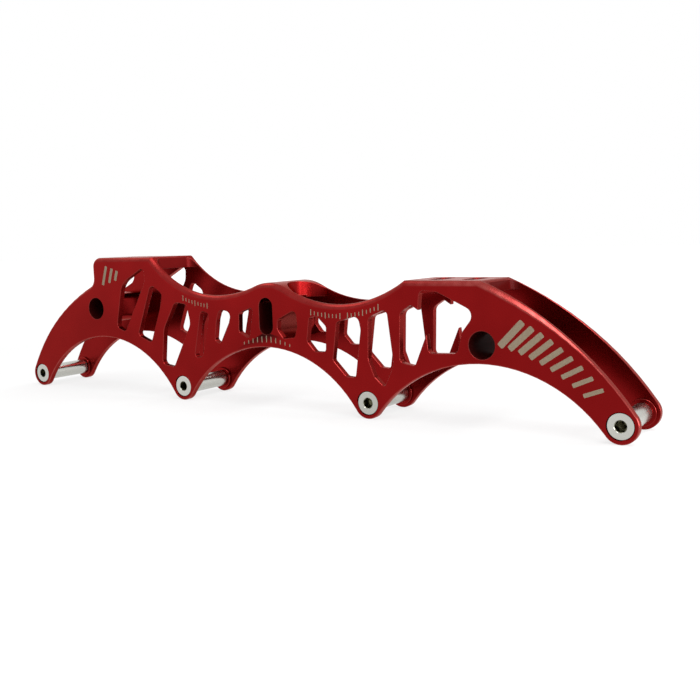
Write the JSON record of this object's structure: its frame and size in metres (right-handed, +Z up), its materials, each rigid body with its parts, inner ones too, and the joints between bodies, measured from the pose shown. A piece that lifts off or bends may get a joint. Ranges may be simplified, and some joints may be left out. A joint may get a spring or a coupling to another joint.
{
  "type": "inline skate frame",
  "caption": "Milled red anodised inline skate frame with windowed side walls, stepped boot decks, bored cross bars and screw-in wheel axles.",
  "frame": {"origin": "on the ground under the middle of the wheelbase, midway between the walls, where the wall tips stand", "axes": "+X forward to the front wheel, +Y from the axle heads' side to the threaded side, +Z up to the boot"},
  "size_m": [0.331, 0.032, 0.0693],
  "materials": {
    "anodised_frame": "red anodised, satin",
    "axle_steel": "turned and polished"
  },
  "bodies": {
    "frame": {"frame_body": "anodised_frame"},
    "rear_axle": {"rear_axle": "axle_steel"},
    "second_axle": {"second_axle": "axle_steel"},
    "third_axle": {"third_axle": "axle_steel"},
    "front_axle": {"front_axle": "axle_steel"}
  },
  "joints": [
    {"name": "rear_axle_out", "type": "slide", "parent": "frame", "child": "rear_axle", "axis": [0, -1, 0], "range_m": [0, 0.04]},
    {"name": "second_axle_out", "type": "slide", "parent": "frame", "child": "second_axle", "axis": [0, -1, 0], "range_m": [0, 0.04]},
    {"name": "third_axle_out", "type": "slide", "parent": "frame", "child": "third_axle", "axis": [0, -1, 0], "range_m": [0, 0.04]},
    {"name": "front_axle_out", "type": "slide", "parent": "frame", "child": "front_axle", "axis": [0, -1, 0], "range_m": [0, 0.04]}
  ]
}
